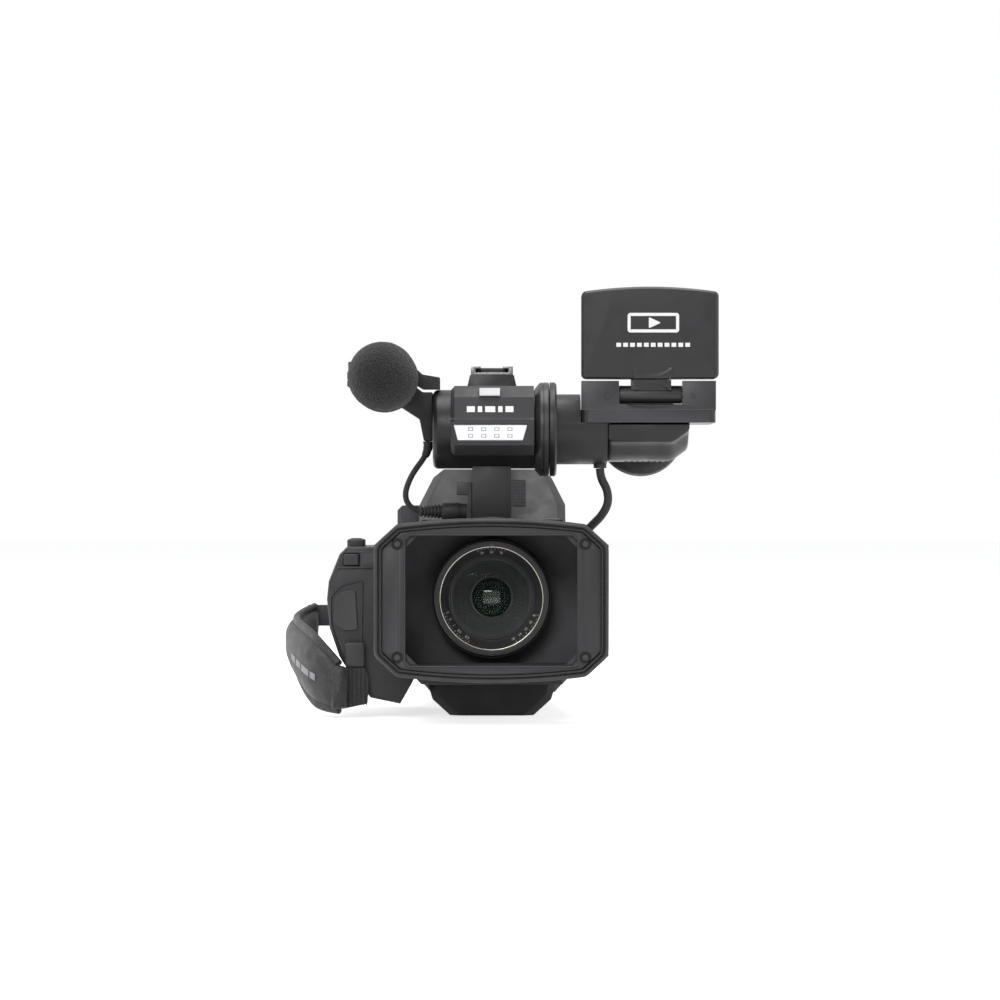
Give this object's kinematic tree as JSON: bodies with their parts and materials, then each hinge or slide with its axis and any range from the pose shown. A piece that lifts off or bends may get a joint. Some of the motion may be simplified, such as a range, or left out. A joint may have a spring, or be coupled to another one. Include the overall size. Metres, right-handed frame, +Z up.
{
  "type": "camcorder",
  "caption": "Shoulder-mount camcorder with a hooded zoom lens, top handle, light pod, clamped microphone, tilting viewfinder with folding monitor, and a side grip with hand strap.",
  "frame": {"origin": "mouth of the quarter-inch tripod thread, in the plane the camcorder stands on", "axes": "+Z up, +Y from the lens to the battery along the lens axis, +X to the camcorder's own left side"},
  "size_m": [0.2432, 0.463, 0.239],
  "materials": {
    "body_plastic": "fine matte texture",
    "satin_black": "satin",
    "ring_black": "anti-reflection black",
    "coated_glass": "coated optical glass",
    "soft_rubber": "matte rubber",
    "black_steel": "blackened screw steel",
    "cast_black": "powder-coated casting",
    "foam_pad": "soft foam rubber",
    "circuit_board": "board laminate",
    "bare_aluminium": "machined",
    "nickel_shell": "satin nickel",
    "bare_steel": "brushed dark steel",
    "grey_plastic": "matte grey",
    "clear_window": "frosted diffuser",
    "lamp_board": "white board with lamp chips",
    "tally_lens": "frosted grey lens",
    "black_metal": "satin black",
    "foam": "open-cell foam",
    "lead_jacket": "matte jacket",
    "strap_leather": "soft grained",
    "webbing": "woven",
    "screen_glass": "glossy screen",
    "red_button": "satin red"
  },
  "bodies": {
    "chassis": {"lens_barrel": "satin_black", "name_ring": "ring_black", "front_lens": "coated_glass", "lens_group": "ring_black", "lens_hood": "satin_black", "hood_rim": "soft_rubber", "hood_frame": "satin_black", "hood_screws": "black_steel", "base_plate": "cast_black", "left_cover": "body_plastic", "right_cover": "body_plastic", "shoulder_pad": "foam_pad", "battery_plate": "satin_black", "main_board": "circuit_board", "sensor_block": "bare_aluminium", "audio_box": "body_plastic", "xlr_sockets": "nickel_shell", "handle": "body_plastic", "accessory_shoe": "bare_steel", "jack_block": "grey_plastic", "pod_housing": "body_plastic", "pod_face": "body_plastic", "led_window": "clear_window", "led_board": "lamp_board", "tally_window": "tally_lens", "pod_flange": "body_plastic", "mic_holder": "body_plastic", "microphone": "black_metal", "windscreen": "foam", "mic_lead": "lead_jacket", "mic_plug": "soft_rubber", "grip_housing": "body_plastic", "strap_buckle": "grey_plastic", "strap_pad": "strap_leather", "strap_web": "webbing"},
    "focus_ring": {"focus_ring": "soft_rubber"},
    "upper_shutter": {"upper_shutter": "satin_black"},
    "lower_shutter": {"lower_shutter": "satin_black"},
    "shutter_lever": {"shutter_lever": "grey_plastic"},
    "battery": {"battery": "satin_black"},
    "audio_dial_1": {"audio_dial_1": "grey_plastic"},
    "audio_dial_2": {"audio_dial_2": "grey_plastic"},
    "card_door": {"card_door": "body_plastic"},
    "handle_rocker": {"handle_rocker": "grey_plastic"},
    "mic_clamp": {"mic_clamp": "body_plastic"},
    "clamp_screw": {"clamp_screw": "black_steel"},
    "viewfinder": {"viewfinder_arm": "body_plastic", "viewfinder_housing": "body_plastic", "eyecup": "soft_rubber", "eyepiece_lens": "coated_glass", "viewfinder_lead": "lead_jacket", "lcd_base": "body_plastic"},
    "lcd_hinge": {"lcd_hinge": "satin_black"},
    "lcd_panel": {"lcd_lid": "body_plastic", "lcd_bezel": "satin_black", "lcd_glass": "screen_glass"},
    "zoom_rocker": {"zoom_rocker": "grey_plastic"},
    "assign_button": {"assign_button": "grey_plastic"},
    "record_button": {"record_button": "red_button"}
  },
  "joints": [
    {"name": "shutter_lever_turn", "type": "hinge", "parent": "chassis", "child": "shutter_lever", "pos_m": [0.059, -0.147, 0.068], "axis": [1, 0, 0], "range_deg": [0, 60]},
    {"name": "upper_shutter_swing", "type": "hinge", "parent": "chassis", "child": "upper_shutter", "pos_m": [0, -0.1775, 0.1039], "axis": [-1, 0, 0], "range_deg": [0, 90]},
    {"name": "lower_shutter_swing", "type": "hinge", "parent": "chassis", "child": "lower_shutter", "pos_m": [0, -0.1775, 0.0321], "axis": [1, 0, 0], "range_deg": [0, 90]},
    {"name": "focus_ring_turn", "type": "hinge", "parent": "chassis", "child": "focus_ring", "pos_m": [0, -0.108, 0.068], "axis": [0, 1, 0], "continuous": true},
    {"name": "battery_slide", "type": "slide", "parent": "chassis", "child": "battery", "axis": [0, 0, 1], "range_m": [0, 0.012]},
    {"name": "audio_dial_1_turn", "type": "hinge", "parent": "chassis", "child": "audio_dial_1", "pos_m": [0.046, 0.1, 0.092], "axis": [1, 0, 0], "range_deg": [0, 270]},
    {"name": "audio_dial_2_turn", "type": "hinge", "parent": "chassis", "child": "audio_dial_2", "pos_m": [0.046, 0.124, 0.092], "axis": [1, 0, 0], "range_deg": [0, 270]},
    {"name": "card_door_hinge", "type": "hinge", "parent": "chassis", "child": "card_door", "pos_m": [0.0468, 0.15, 0.079], "axis": [0, 0, -1], "range_deg": [0, 100]},
    {"name": "handle_rocker_tilt", "type": "hinge", "parent": "chassis", "child": "handle_rocker", "pos_m": [0, 0.021, 0.183], "axis": [1, 0, 0], "range_deg": [-6, 6], "stiffness_Nm_per_rad": 0.3},
    {"name": "mic_clamp_hinge", "type": "hinge", "parent": "chassis", "child": "mic_clamp", "pos_m": [-0.0322, -0.085, 0.1858], "axis": [0, 1, 0], "range_deg": [0, 75]},
    {"name": "clamp_screw_turn", "type": "hinge", "parent": "mic_clamp", "child": "clamp_screw", "pos_m": [-0.077, -0.085, 0.19], "axis": [0, 0, 1], "continuous": true},
    {"name": "viewfinder_tilt", "type": "hinge", "parent": "chassis", "child": "viewfinder", "pos_m": [0.036, -0.084, 0.1606], "axis": [1, 0, 0], "range_deg": [-30, 90], "deforming": ["viewfinder_lead"]},
    {"name": "lcd_tilt", "type": "hinge", "parent": "viewfinder", "child": "lcd_hinge", "pos_m": [0.08735, -0.097, 0.1795], "axis": [1, 0, 0], "range_deg": [-90, 0]},
    {"name": "lcd_swivel", "type": "hinge", "parent": "lcd_hinge", "child": "lcd_panel", "pos_m": [0.08735, -0.097, 0.19], "axis": [0, 0, 1], "range_deg": [0, 180]},
    {"name": "zoom_rocker_tilt", "type": "hinge", "parent": "chassis", "child": "zoom_rocker", "pos_m": [-0.07675, -0.044, 0.094], "axis": [1, 0, 0], "range_deg": [-6, 6], "stiffness_Nm_per_rad": 0.3},
    {"name": "assign_button_press", "type": "slide", "parent": "chassis", "child": "assign_button", "axis": [0, 1, 0], "range_m": [0, 0.001], "stiffness_N_per_m": 400},
    {"name": "record_button_press", "type": "slide", "parent": "chassis", "child": "record_button", "axis": [0, -1, 0], "range_m": [0, 0.0012], "stiffness_N_per_m": 400}
  ],
  "couplings": [
    {"joint": "upper_shutter_swing", "follows": "shutter_lever_turn", "ratio": 1.5},
    {"joint": "lower_shutter_swing", "follows": "shutter_lever_turn", "ratio": 1.5}
  ]
}
